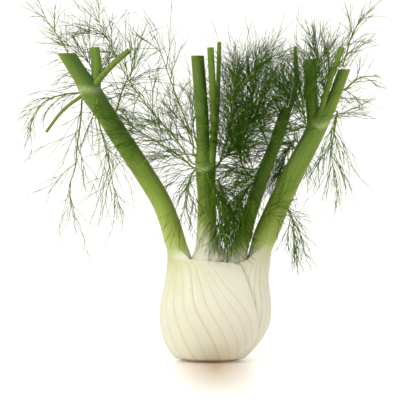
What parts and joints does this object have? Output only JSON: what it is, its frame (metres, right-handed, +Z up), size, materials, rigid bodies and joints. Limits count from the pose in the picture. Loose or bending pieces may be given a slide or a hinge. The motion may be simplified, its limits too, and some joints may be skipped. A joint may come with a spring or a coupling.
{
  "type": "fennel bulb",
  "caption": "Fennel bulb standing on its cut root face, with ribbed nested leaf sheaths, cut green stalks and feathery thread-leaved fronds.",
  "frame": {"origin": "centre of the flat cut root face that the bulb stands on", "axes": "+Z up through the bulb, +X towards the right-hand stalks, -Y the front of the flat fan of leaves"},
  "size_m": [0.3214, 0.1043, 0.3208],
  "materials": {
    "root_cut": "matte",
    "leaf": "satin",
    "frond": "satin"
  },
  "bodies": {
    "root": {"root_plate": "root_cut", "outer_left_leaf": "leaf", "outer_right_leaf": "leaf", "centre_leaf": "leaf", "inner_right_leaf": "leaf", "frond_left_curl": "frond", "frond_left_inner": "frond", "frond_left_hanging": "frond", "frond_left_hanging_front": "frond", "frond_centre_left": "frond", "frond_left_top": "frond", "frond_left_side": "frond", "frond_left_upright": "frond", "frond_left_back": "frond", "frond_centre_low_left": "frond", "frond_centre_front": "frond", "frond_centre_low_right": "frond", "frond_centre_right": "frond", "frond_centre_plume": "frond", "frond_centre_back": "frond", "frond_inner_front": "frond", "frond_inner_left": "frond", "frond_inner_back": "frond", "frond_inner_low": "frond", "frond_right_front": "frond", "frond_right_top": "frond", "frond_right_top_outer": "frond", "frond_right_side": "frond", "frond_right_hanging": "frond", "frond_right_back": "frond", "frond_right_low": "frond", "frond_right_inner": "frond"}
  },
  "joints": []
}
